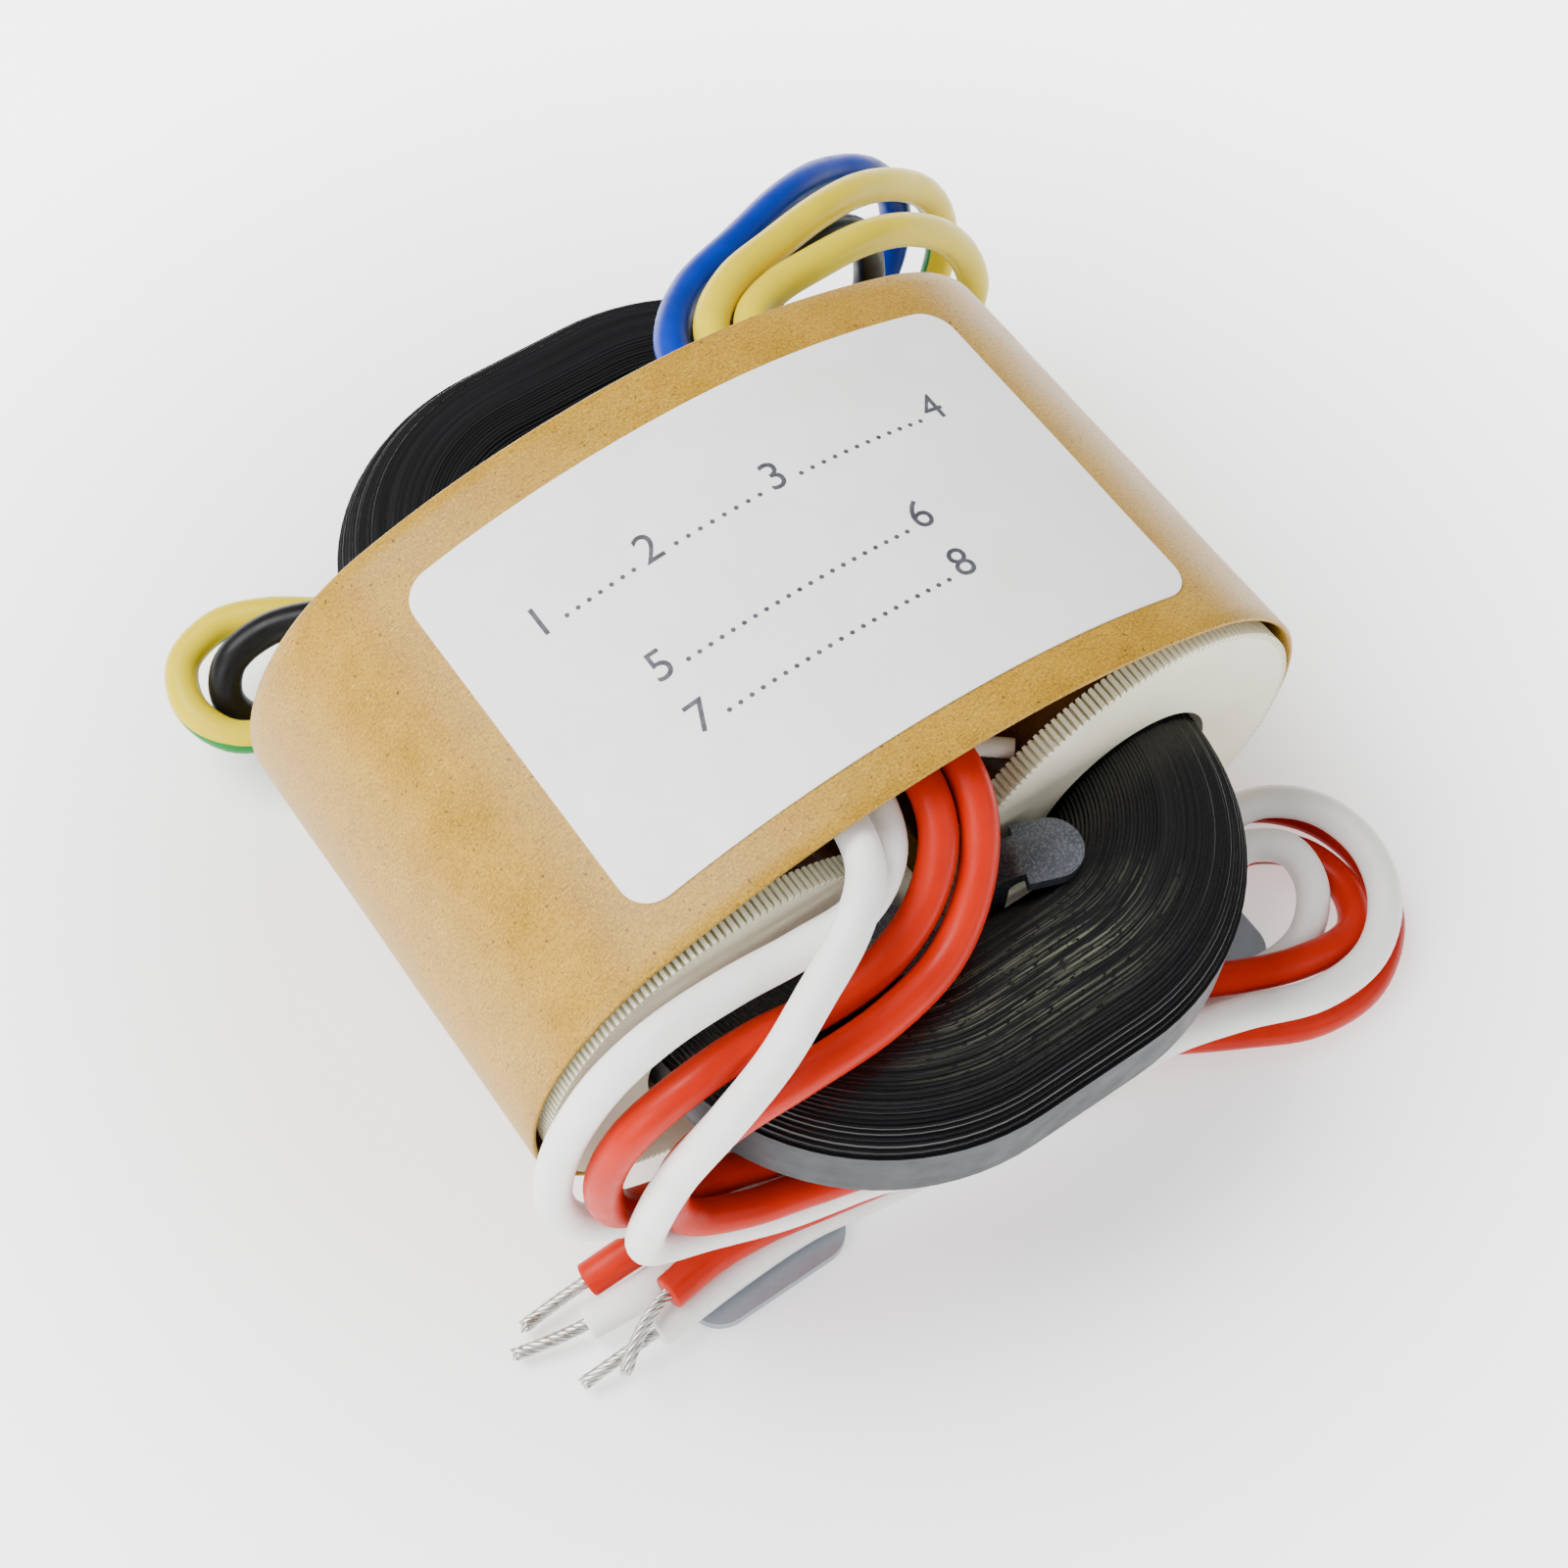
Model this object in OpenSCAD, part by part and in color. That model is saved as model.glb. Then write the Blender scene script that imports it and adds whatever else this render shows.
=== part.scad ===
// R-core mains transformer: a strip-wound ring core with a round bobbin on each leg, a paper sleeve
// round both coils, four foot clips and eight insulated leads.
// X runs across the two coils, Y along the legs, Z up. The origin is on the floor, under the centre.

/* [Core] */
// Distance between the centre lines of the two legs
leg_pitch = 32.4; // [32:0.1:36]
// Overall length of the wound core
core_l = 72; // [71:0.5:80]
// Height of the core section
core_h = 14.4; // [12:0.1:14.6]
// Build of the strip, from the window to the outside
core_build = 13.3; // [12:0.1:13.5]
// Width of the first and the last turn of strip
strip_end_w = 5.4; // [4:0.1:8]
// Corner radius of the window
window_r = 5.2; // [4:0.1:6]
// Turns of strip that show as steps in the section
core_turns = 20; // [12:1:24]
// Height by which every second turn stands back
turn_stagger = 0.12; // [0.04:0.01:0.2]

/* [Bobbins] */
// Radius of the bobbin bore that runs on the leg
bore_r = 7.6; // [7.5:0.1:8]
// Wall of the bobbin tube
tube_wall = 1; // [0.8:0.1:1.4]
// Distance from the tip of a flange to the middle between the legs
coil_gap = 1; // [0.6:0.1:1.6]
// Thickness of a flange
flange_t = 1.6; // [1.2:0.1:2]
// Space between a flange and the end of the window
end_gap = 3.9; // [3.6:0.1:5]
// Teeth on a flange, an even number
flange_teeth = 180; // [60:2:200]
// Depth of a flange tooth
tooth_depth = 0.5; // [0.3:0.05:0.8]

/* [Windings] */
// Build of the primary winding
primary_build = 2.4; // [1.5:0.1:2.6]
// Thickness of the tape between the layers
layer_tape_t = 0.3; // [0.2:0.05:0.4]
// Thickness of the screen foil
screen_t = 0.15; // [0.1:0.05:0.2]
// Angle left open where the screen foil would close a turn
screen_gap_deg = 12; // [6:1:20]
// Wire diameter of the secondary winding
secondary_wire = 0.8; // [0.6:0.1:0.9]
// Thickness of the outer tape
outer_tape_t = 0.3; // [0.2:0.05:0.4]

/* [Sleeve and label] */
// Distance by which the sleeve stands back from the face of a flange
sleeve_back = 0.5; // [0:0.1:1.5]
// Thickness of the paper
sleeve_t = 0.4; // [0.3:0.05:0.5]
// Rise of the sleeve's crown above its round ends
crown_rise = 3; // [2.8:0.1:3.5]
// Rise of the sleeve's underside below its round ends
belly_rise = 1; // [0.4:0.1:2.5]
// Width of the label
label_w = 44; // [30:0.5:46]
// Length of the label
label_l = 28; // [20:0.5:32]
// Corner radius of the label
label_r = 3.5; // [1:0.5:5]
// Thickness of the label
label_t = 0.15; // [0.1:0.05:0.3]

/* [Foot clips] */
// Sheet thickness of the clips
sheet_t = 1; // [0.8:0.1:1.2]
// Inside radius of a fold
fold_r = 1; // [0.6:0.1:1.2]
// Distance from a leg's centre line to a mounting hole, across the core
hole_side = 3.8; // [3.5:0.1:5]
// Distance from a web's middle to a mounting hole, along the core
hole_out = 4.25; // [4:0.05:5]
// Radius of a mounting hole
hole_r = 1.7; // [1.4:0.1:2]
// Width of a foot, across the core
foot_w = 13; // [12:0.5:14]
// Distance from a hole to the end of its foot
foot_edge_x = 6.5; // [5.5:0.5:7.5]
// Distance from a hole to the long side of its foot
foot_edge_y = 5.3; // [4:0.1:6]
// Corner radius of a foot
foot_r = 2.5; // [1:0.5:4]
// Width of the strap under the core
strap_w = 4.4; // [4:0.1:4.4]
// Distance of a web from the middle of the window
web_x = 2.4; // [2:0.1:3]
// Width of the tongue over the core
tongue_w = 4.6; // [3.6:0.1:4.8]
// Reach of the tongue from the web
tongue_reach = 6.5; // [6:0.1:7]
// Angle of the tongue to the core's width
tongue_deg = 20; // [15:1:25]

/* [Leads] */
// Diameter over the insulation
lead_d = 2.6; // [2:0.1:2.6]
// Diameter of the tinned strands
tip_d = 1; // [0.6:0.1:1.2]
// Diameter of the short sleeve over a soldered joint
joint_sleeve_d = 1.4; // [1:0.1:1.6]
// Wall of the joint sleeve
joint_sleeve_wall = 0.25; // [0.15:0.05:0.3]
// Length of the joint sleeve
joint_sleeve_l = 8; // [6:0.5:9]

/* [Hidden] */
$fn = 96;

// Clearances that the pieces share
slip = 0.05;
sleeve_slip = 0.7;
web_slip = 0.45;
seat_slip = 0.1;
tongue_slip = 0.3;

// Places that follow from the core
leg_x = leg_pitch / 2;
corner_x = leg_x - core_build / 2 - window_r;
corner_y = core_l / 2 - core_build - window_r;
window_end_y = core_l / 2 - core_build;
bobbin_l = 2 * (window_end_y - end_gap);
flange_r = leg_x - coil_gap;
sleeve_l = bobbin_l - 2 * sleeve_back;
// Half axis of the ellipse that bounds the turns, so that the end turns come out at their width
section_a = core_build / 2 / sqrt(1 - pow(strip_end_w / core_h, 2));

// Sleeve section: two end arcs that run tangentially into the crown and the underside
end_r = flange_r + sleeve_slip + sleeve_t;
crown_h = end_r + crown_rise;
axis_h = crown_h + sheet_t;

// Radii of the layers on a bobbin
tube_r = bore_r + tube_wall;
primary_r = tube_r + primary_build;
layer_r = primary_r + layer_tape_t;
screen_r = layer_r + screen_t;
secondary_r = screen_r + secondary_wire * 2;
winding_l = bobbin_l - 2 * flange_t - 2 * slip;

// Foot clips: the strap lies under the core, and the web stands between flange and window end
seat_z = axis_h - core_h / 2 - seat_slip;
hole_x = leg_x + hole_side;
foot_end_x = hole_x + foot_edge_x;
foot_root_x = foot_end_x - foot_w;
riser_x = foot_root_x - fold_r - sheet_t;
web_w = end_gap - 2 * web_slip;
web_y = window_end_y - end_gap / 2;
hole_y = web_y + hole_out;
strap_in_y = web_y - web_w / 2;
strap_mid_y = strap_in_y + strap_w / 2;
foot_l = hole_y + foot_edge_y - strap_in_y;
// The tongue is set by the highest turn that it covers
tongue_overlap = web_y + (tongue_reach - tongue_w / 2) * sin(tongue_deg) + tongue_w / 2 - window_end_y;
// Routes of the leads: from the coil, out under the sleeve, down one side, under the core to a loop on the
// other side, and back under the core to the cut end
tube_sides = 8;
white_route_a = [
  [-7, -6, 32], [-7, -11, 34], [-7.2, -17, 36.2], [-8.5, -20.6, 36.6], [-11.5, -23.2, 36.2],
  [-15.5, -25, 34.5], [-19, -26.2, 32], [-23, -26.8, 29], [-26.5, -26.6, 24.5], [-28.6, -26.4, 19],
  [-28.9, -26, 14.2], [-27.4, -25.6, 10.7], [-23.8, -26, 8.6], [-18.5, -27.6, 8], [-12, -29.1, 8],
  [-8, -30.4, 8], [0, -30.5, 8], [4, -31.8, 8.8], [8, -31.8, 10.2], [12, -30.5, 11], [17.5, -28, 10.9],
  [21, -25.6, 8.9], [24.5, -23.9, 6.7], [28.2, -23, 5.6], [30.9, -25, 5.3], [30.9, -28, 4.2],
  [28.6, -30.4, 2.8], [25, -31, 2.4], [19, -29.6, 2.4], [14, -27, 2.42], [9, -25.4, 2.2],
  [0, -25.2, 2], [-6, -25.2, 2.1], [-12.5, -25.2, 2.4], [-18, -24.9, 2.4], [-24, -25, 2.65],
  [-29.5, -25.2, 2.5], [-33.2, -24.8, 2]
];
white_route_b = [
  [-4.2, -6, 30], [-4.2, -11, 32.6], [-4.4, -16, 35], [-5.8, -19.4, 34.6], [-9, -21.3, 33.6],
  [-14, -21.4, 33.4], [-19, -21.2, 33.6], [-24, -21.2, 33.3], [-28, -21.2, 31.2], [-31, -21.2, 27],
  [-32.5, -21.2, 22], [-32.7, -21.2, 17], [-31.3, -21.4, 12], [-28, -22, 8.8], [-23.5, -23.2, 8],
  [-18, -24.9, 8], [-12, -26.2, 8], [-8, -27.5, 8.8], [-4, -27.5, 10.2], [0, -26.2, 11],
  [12, -26.2, 11], [18, -23.8, 9.8], [22.5, -21.5, 7.6], [27, -20.3, 6], [31.5, -20.7, 5.9],
  [34.8, -23.6, 5.9], [35.7, -28, 5.9], [34, -32.4, 5.7], [30.2, -35.2, 5.4], [25, -35.5, 5.2],
  [19, -33.4, 5.1], [13, -31.8, 4.8], [8, -31.5, 3.6], [3, -30.3, 2.1], [-4, -29.4, 2], [-12, -28.6, 2.3],
  [-16, -27.7, 2.4], [-22, -27.6, 2.4], [-30.8, -28.4, 2.4]
];
orange_route_a = [
  [-1.4, -6, 31.6], [-1.4, -11, 33.8], [-1.4, -17, 36], [-2.4, -20.2, 34.8], [-5, -22.6, 32.2],
  [-9, -23.9, 30.2], [-13.5, -24, 29.4], [-19, -23.6, 29.8], [-24, -23.7, 29.6], [-28, -23.6, 27.4],
  [-30, -23.4, 23], [-30.1, -23.3, 18], [-28.6, -23.1, 14], [-25.5, -23.1, 11.6], [-20, -24.2, 11],
  [-12, -26.2, 11], [-8, -24.9, 10.2], [-4, -24.9, 8.8], [0, -26.2, 8], [12, -26.2, 8],
  [18, -23.8, 6.8], [22.5, -21, 4.6], [27, -19, 3.1], [31.8, -19.4, 2.9], [35.6, -23, 2.7],
  [36.8, -28, 2.4], [35, -33, 1.8], [30.5, -36.1, 1.5], [25, -36.2, 1.7], [19, -33.6, 2.1],
  [13, -30.4, 2.35], [8, -28.4, 3.1], [3, -28.7, 4.9], [-2, -29.4, 5], [-8, -29.2, 5.1],
  [-14, -28.2, 5.2], [-20, -26.8, 5.1], [-24, -27, 5.1], [-28.6, -27.9, 5.1]
];
orange_route_b = [
  [1.4, -6, 31.6], [1.4, -11, 33.8], [1.4, -17, 36], [0.6, -20.4, 34.9], [-1.6, -23.4, 32.2],
  [-5.5, -25.8, 30], [-11, -26.9, 29.2], [-17, -26.8, 28.4], [-22, -25.8, 25.4], [-25.4, -25.1, 20.6],
  [-26.3, -25.2, 16], [-25, -25.8, 12.9], [-21.3, -26.9, 11.2], [-17, -28, 11], [-12, -29.3, 11],
  [-8, -30.3, 11], [0, -30.5, 11], [4, -29.2, 10.2], [8, -29.2, 8.8], [12, -30.4, 8], [17.5, -27.8, 8],
  [21, -25.3, 5.6], [25, -22.9, 2.9], [29.5, -22.2, 2.5], [33, -24.9, 2.4], [33.7, -29.2, 2.6],
  [31.2, -32.5, 3.6], [25.5, -32.6, 4.9], [19, -30.1, 5.08], [14, -27.1, 5.08], [9, -25.4, 4.9],
  [0, -25.2, 4.8], [-6, -25.2, 4.9], [-12, -25.3, 5.1], [-18, -24.4, 5], [-24, -23.3, 4.8],
  [-28, -22.6, 3.5], [-31.6, -22.3, 2.4]
];
blue_route = [
  [3.6, 6, 32.6], [3.6, 11, 34.6], [4, 16.5, 36.4], [4.9, 20.8, 36.2], [9.2, 25.4, 34.8],
  [16, 28.6, 33.2], [22.8, 31.8, 31.2], [28, 33.8, 28.6], [32.5, 34.4, 25.6], [35.2, 34.4, 21.6],
  [35.7, 34, 17.4], [34.4, 33.4, 13.6], [31.2, 32.6, 11.6], [26, 31.8, 11], [12, 31, 11],
  [-4.2, 31, 11], [-7.3, 31, 9.7], [-8.6, 31, 6.6], [-7.3, 31, 3.5], [-4.2, 31, 2.2], [12, 31, 2.4],
  [28, 30.6, 2.4]
];
yellow_route = [
  [9.4, 6, 33.6], [9.4, 11, 35.2], [9.4, 16.5, 36.9], [10.8, 19.5, 36.8], [14, 21.4, 36],
  [18.5, 22.6, 34.8], [24, 23.8, 33], [28.6, 24.6, 30.4], [33, 25.2, 26.4], [36.2, 25.6, 21.4],
  [37.6, 25.8, 16.6], [36.4, 25.8, 13], [33, 25.6, 11.2], [28, 25.3, 11], [12, 25.2, 11],
  [-4.2, 25.2, 11], [-7.3, 25.2, 9.7], [-8.6, 25.2, 6.6], [-7.3, 25.2, 3.5], [-4.2, 25.2, 2.2],
  [12, 25.2, 2.5], [29.5, 24.6, 2.8], [33.5, 24.4, 2]
];
black_route = [
  [4.8, 6, 29.8], [4.8, 11, 31.8], [4.7, 16.5, 33.6], [5.4, 20.6, 33.3], [9, 23.8, 31.8],
  [14, 25.8, 30.6], [19, 27.6, 29.8], [24, 29, 28.4], [28, 30.2, 25.4], [30.2, 30.8, 21.2],
  [30.5, 30.6, 16.8], [28.6, 29.8, 13.2], [25, 28.8, 11.4], [19, 28.2, 11], [0, 28.1, 11],
  [-8, 28.1, 11], [-14, 29, 11], [-19.5, 30.8, 11], [-24.3, 32, 10.6], [-27.4, 31.6, 9.4],
  [-28.6, 30.6, 6.6], [-27.4, 29.6, 3.9], [-24.3, 29, 2.6], [-18, 28.6, 2.4], [-12, 28.1, 2.4],
  [0, 28.1, 2], [12, 28.1, 2.4], [29.5, 27.6, 2.4]
];
yellow_green_route = [
  [6.7, 6, 32.4], [6.7, 11, 34.6], [6.7, 16.5, 36.6], [8, 20.5, 36.8], [11.7, 23.4, 36.4],
  [17, 25.4, 35.2], [22.5, 27.4, 33.6], [27.5, 29.2, 31.2], [32.5, 30.6, 27.6], [36.4, 31.4, 23.4],
  [38.5, 31.6, 18.6], [38.4, 31.2, 14.2], [36.2, 30.4, 10.6], [32.4, 29.4, 8.6], [27, 28.5, 8],
  [12, 28.1, 8], [0, 28.1, 8], [-9, 28.2, 8], [-15, 30.4, 8], [-19.7, 33.2, 8], [-23.6, 35.8, 8],
  [-27.3, 37, 7.8], [-31, 35.7, 7.4], [-32.4, 32.1, 7], [-31, 28.5, 6.4], [-27.3, 27, 5.8],
  [-22, 27, 5.4], [-15, 27.8, 5.2], [-8, 28.1, 5.1], [12, 28.1, 5.1], [20, 26.9, 5.2], [26, 26.3, 5.1]
];
// Far ends of the tinned strands
white_far_a = [-38.6, -23.5, 1.2];
white_far_b = [-36, -28, 1.2];
orange_far_a = [-33.6, -30.2, 4.2];
orange_far_b = [-37.2, -22.3, 1.4];
blue_far = [33.6, 30.2, 1.4];
yellow_far = [39, 24, 1.2];
black_far = [35, 27.6, 1.2];
yellow_green_far = [31.4, 25.8, 4.2];
// Front end of the joint sleeve: it lies on the tape of the right coil, behind the flange
joint_deg = 130;
joint_turn = 51;
joint_r = secondary_r + 2 * slip + outer_tape_t + joint_sleeve_d / 2;
joint_y = flange_t + joint_sleeve_d / 2 + slip - bobbin_l / 2;
joint_sleeve_at = [leg_x + joint_r * cos(joint_deg), joint_y, axis_h + joint_r * sin(joint_deg)];

// Half height of the core section at a distance u outwards from the leg's centre line
function half_height(u) = core_h / 2 * sqrt(1 - pow(u / section_a, 2));
tongue_z = axis_h + half_height(tongue_overlap - core_build / 2) + tongue_slip;

// Edge of turn k, counted from the window
function turn_u(k) = -core_build / 2 + k * core_build / core_turns;

// Half height of turn k: the lower of its two edges on the ellipse, with every second turn set back
function turn_h(k) = min(half_height(turn_u(k)), half_height(turn_u(k + 1)))
  - (k % 2 == 1 ? turn_stagger : 0);

// Stepped section of the wound strip, outwards along +X
function strip_section() = concat(
  [for (k = [0 : core_turns - 1], e = [0, 1]) [turn_u(k + e), turn_h(k)]],
  [for (k = [core_turns - 1 : -1 : 0], e = [1, 0]) [turn_u(k + e), -turn_h(k)]]
);

// Straight run of the core, outwards along +X and centred on Y
module core_run(length) {
  rotate([90, 0, 0])
    linear_extrude(length, center = true)
      polygon(strip_section());
}

// Corner of the core, a quarter turn from +X to +Y
module core_corner() {
  rotate_extrude(angle = 90)
    translate([window_r + core_build / 2, 0])
      polygon(strip_section());
}

module core() {
  color("#17181c")
    translate([0, 0, axis_h])
      for (turn = [0, 180]) rotate(turn) {
        translate([leg_x, 0, 0]) core_run(2 * corner_y);
        translate([0, core_l / 2 - core_build / 2, 0]) rotate(90) core_run(2 * corner_x);
        translate([corner_x, corner_y, 0]) core_corner();
        translate([-corner_x, corner_y, 0]) rotate(90) core_corner();
      }
}

// Frame of a leg: the axis of the leg is local Z, and local Y points up
module on_leg(side) {
  translate([side * leg_x, 0, axis_h])
    rotate([90, 0, 0])
      children();
}

// Half of a toothed flange, as an outline over the half turn above its diameter
function half_gear() = let (pitch = 360 / flange_teeth, root = flange_r - tooth_depth) [
  for (i = [0 : flange_teeth / 2 - 1], p = [[0.1, root], [0.25, flange_r], [0.75, flange_r], [0.9, root]])
    p[1] * [cos((i + p[0]) * pitch), sin((i + p[0]) * pitch)]
];

// Upper half of a bobbin, split along its diameter
module bobbin_half() {
  difference() {
    union() {
      for (z = [-bobbin_l / 2, bobbin_l / 2 - flange_t])
        translate([0, 0, z])
          linear_extrude(flange_t)
            polygon(concat([[flange_r - tooth_depth, 0]], half_gear(), [[tooth_depth - flange_r, 0]]));
      intersection() {
        cylinder(r = tube_r, h = bobbin_l - flange_t, center = true);
        translate([-tube_r, 0, -bobbin_l / 2]) cube([2 * tube_r, tube_r, bobbin_l]);
      }
    }
    cylinder(r = bore_r, h = bobbin_l + 1, center = true);
  }
}

module bobbin(side, up) {
  color("#d8d5c6")
    on_leg(side)
      rotate(up ? 0 : 180)
        bobbin_half();
}

// Plain layer of a winding between two radii
module layer(inner, outer) {
  rotate_extrude()
    translate([inner, -winding_l / 2])
      square([outer - inner, winding_l]);
}

module primary(side) {
  color("#a8552a")
    on_leg(side)
      layer(tube_r + slip, primary_r);
}

module layer_tape(side) {
  color("#c9a24a")
    on_leg(side)
      layer(primary_r + slip, layer_r);
}

// Copper foil that stops short of a closed turn
module screen(side) {
  color("#c8743c")
    on_leg(side)
      rotate_extrude(angle = 360 - screen_gap_deg)
        translate([layer_r + slip, -winding_l / 2])
          square([screen_t, winding_l]);
}

// Two layers of wire, with the turns of the outer layer as rounded ridges
module secondary(side) {
  turns = floor(winding_l / secondary_wire);
  low_r = secondary_r - 0.25 * secondary_wire;
  color("#b8622c")
    on_leg(side)
      translate([0, 0, -turns * secondary_wire / 2])
        rotate_extrude()
          polygon(concat(
            [[screen_r + 2 * slip, 0]],
            [for (i = [0 : turns - 1], p = [[0, low_r], [0.25, secondary_r], [0.75, secondary_r]])
              [p[1], (i + p[0]) * secondary_wire]],
            [[low_r, turns * secondary_wire], [screen_r + 2 * slip, turns * secondary_wire]]
          ));
}

module outer_tape(side) {
  color("#4a3226")
    on_leg(side)
      layer(secondary_r + slip, secondary_r + slip + outer_tape_t);
}

// Radius of the arc that rises by a given amount over the two end arcs
function arc_r(rise) = (leg_x * leg_x + pow(end_r + rise, 2) - end_r * end_r) / (2 * rise);

// Part of the sleeve's oval above its axis, between the points where the arc meets the end arcs
module bulge(rise, grow) {
  radius = arc_r(rise);
  tangent_x = leg_x * (radius + grow) / (radius - end_r);
  intersection() {
    translate([0, end_r + rise - radius]) circle(radius + grow, $fn = 4 * $fn);
    translate([-tangent_x, 0]) square([2 * tangent_x, 2 * crown_h]);
  }
}

// Oval of the sleeve, grown outwards by a given amount
module oval(grow) {
  for (side = [-1, 1]) translate([side * leg_x, 0]) circle(end_r + grow);
  bulge(crown_rise, grow);
  mirror([0, 1]) bulge(belly_rise, grow);
}

// Sheet wrapped round the two coils, between two offsets of the sleeve's outside
module wrap(inside, outside, length) {
  translate([0, 0, axis_h])
    rotate([90, 0, 0])
      linear_extrude(length, center = true)
        difference() {
          oval(outside);
          oval(inside);
        }
}

module paper_sleeve() {
  color("#b98d4f")
    wrap(-sleeve_t, 0, sleeve_l);
}

// Rectangle with round corners, centred on the origin
module round_rect(width, length, radius) {
  for (x = [-1, 1], y = [-1, 1])
    translate([x * (width / 2 - radius), y * (length / 2 - radius)])
      circle(radius);
  square([width, length - 2 * radius], center = true);
  square([width - 2 * radius, length], center = true);
}

// Sticker on the crown
module label() {
  color("white")
    intersection() {
      wrap(0, label_t, sleeve_l);
      translate([0, 0, axis_h])
        linear_extrude(2 * crown_h)
          round_rect(label_w, label_l, label_r);
    }
}

// Quarter bend in the sheet, as an outline about the origin, from the angle start
module bend(start) {
  rotate(start)
    intersection() {
      difference() {
        circle(fold_r + sheet_t);
        circle(fold_r);
      }
      square(fold_r + sheet_t);
    }
}

// Strip of sheet that follows an outline drawn in X and Z, and lies evenly about Y
module strip(width) {
  rotate([90, 0, 0])
    linear_extrude(width, center = true)
      children();
}

// Foot on the floor, square where it runs into the riser
module foot() {
  linear_extrude(sheet_t)
    difference() {
      translate([foot_root_x + foot_w / 2, strap_in_y + foot_l / 2]) {
        round_rect(foot_w, foot_l, foot_r);
        translate([-foot_w / 2, -foot_l / 2]) square([foot_w / 2, strap_w]);
      }
      translate([hole_x, hole_y]) circle(hole_r);
    }
}

// Web in the window and the tongue that is folded over the core
module tongue() {
  flat_x = fold_r + sheet_t;
  flat_l = tongue_reach - flat_x;
  translate([web_x, web_y, 0])
    rotate(tongue_deg) {
      strip(web_w) {
        translate([0, seat_z - sheet_t]) square([sheet_t, tongue_z - fold_r - seat_z + sheet_t]);
        translate([flat_x, tongue_z - fold_r]) bend(90);
        translate([flat_x, tongue_z]) square([tongue_w / 2, sheet_t]);
      }
      translate([flat_x, 0, tongue_z])
        linear_extrude(sheet_t) {
          translate([0, -tongue_w / 2]) square([flat_l - tongue_w / 2, tongue_w]);
          translate([flat_l - tongue_w / 2, 0]) circle(tongue_w / 2);
        }
    }
}

// Clip of the quarter with positive X and Y, bent from one strip
module clip_quarter() {
  bend_z = seat_z - sheet_t - fold_r;
  foot();
  translate([0, strap_mid_y, 0])
    strip(strap_w) {
      translate([foot_root_x, 0]) square([foot_r, sheet_t]);
      translate([foot_root_x, sheet_t + fold_r]) bend(180);
      translate([riser_x, sheet_t + fold_r]) square([sheet_t, bend_z - sheet_t - fold_r]);
      translate([riser_x - fold_r, bend_z]) bend(0);
      translate([web_x, seat_z - sheet_t]) square([riser_x - fold_r - web_x, sheet_t]);
    }
  tongue();
}

module clip(side, end) {
  color("#b9bcbe")
    mirror([side < 0 ? 1 : 0, 0, 0])
      mirror([0, end < 0 ? 1 : 0, 0])
        clip_quarter();
}

// Direction of the route at each of its points
function unit(v) = v / norm(v);
function tangents(route) = [
  for (i = [0 : len(route) - 1]) unit(route[min(i + 1, len(route) - 1)] - route[max(i - 1, 0)])
];

// Normals carried along the directions t without twist
function carry(t, n) = len(n) == len(t) ? n
  : let (last = n[len(n) - 1], next = t[len(n)]) carry(t, concat(n, [unit(last - (last * next) * next)]));

// Tube along a route, with a ring at each of its points
module tube(route, d) {
  t = tangents(route);
  n = carry(t, [unit(cross(t[0], [0, 0, 1]))]);
  rings = len(route);
  points = [
    for (i = [0 : rings - 1], k = [0 : tube_sides - 1]) let (a = 360 * k / tube_sides)
      route[i] + d / 2 * (cos(a) * n[i] + sin(a) * cross(t[i], n[i]))
  ];
  walls = [
    for (i = [0 : rings - 2], k = [0 : tube_sides - 1]) let (j = (k + 1) % tube_sides, r = i * tube_sides)
      [r + k, r + tube_sides + k, r + tube_sides + j, r + j]
  ];
  start_cap = [for (k = [0 : tube_sides - 1]) k];
  end_cap = [for (k = [tube_sides - 1 : -1 : 0]) (rings - 1) * tube_sides + k];
  polyhedron(points, concat([start_cap], walls, [end_cap]));
}

module lead(shade, route) {
  color(shade)
    tube(route, lead_d);
}

// Tinned strands that go on from the end of a lead to the point far
module tip(route, far) {
  end = route[len(route) - 1];
  stub = end + tip_d * unit(end - route[len(route) - 2]);
  color("#b8b4a8")
    tube([end, stub, far], tip_d);
}

// Insulating sleeve beside the front leads, under the paper
module joint_sleeve() {
  color("white")
    translate(joint_sleeve_at)
      rotate([-90, 0, joint_turn])
        difference() {
          cylinder(d = joint_sleeve_d, h = joint_sleeve_l);
          translate([0, 0, -1]) cylinder(d = joint_sleeve_d - 2 * joint_sleeve_wall, h = joint_sleeve_l + 2);
        }
}

core();
bobbin(-1, true);  // left_bobbin_upper
bobbin(-1, false);  // left_bobbin_lower
bobbin(1, true);  // right_bobbin_upper
bobbin(1, false);  // right_bobbin_lower
primary(-1);  // left_primary
layer_tape(-1);  // left_layer_tape
screen(-1);  // left_screen
secondary(-1);  // left_secondary
outer_tape(-1);  // left_outer_tape
primary(1);  // right_primary
layer_tape(1);  // right_layer_tape
screen(1);  // right_screen
secondary(1);  // right_secondary
outer_tape(1);  // right_outer_tape
paper_sleeve();
label();
clip(-1, -1);  // clip_front_left
clip(1, -1);  // clip_front_right
clip(-1, 1);  // clip_back_left
clip(1, 1);  // clip_back_right
lead("white", white_route_a);  // white_lead_a
lead("white", white_route_b);  // white_lead_b
lead("#ee3a12", orange_route_a);  // orange_lead_a
lead("#ee3a12", orange_route_b);  // orange_lead_b
lead("#1f48c8", blue_route);  // blue_lead
lead("#f2d413", yellow_route);  // yellow_lead
lead("#151515", black_route);  // black_lead
lead("#dfe01a", yellow_green_route);  // yellow_green_lead
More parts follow.
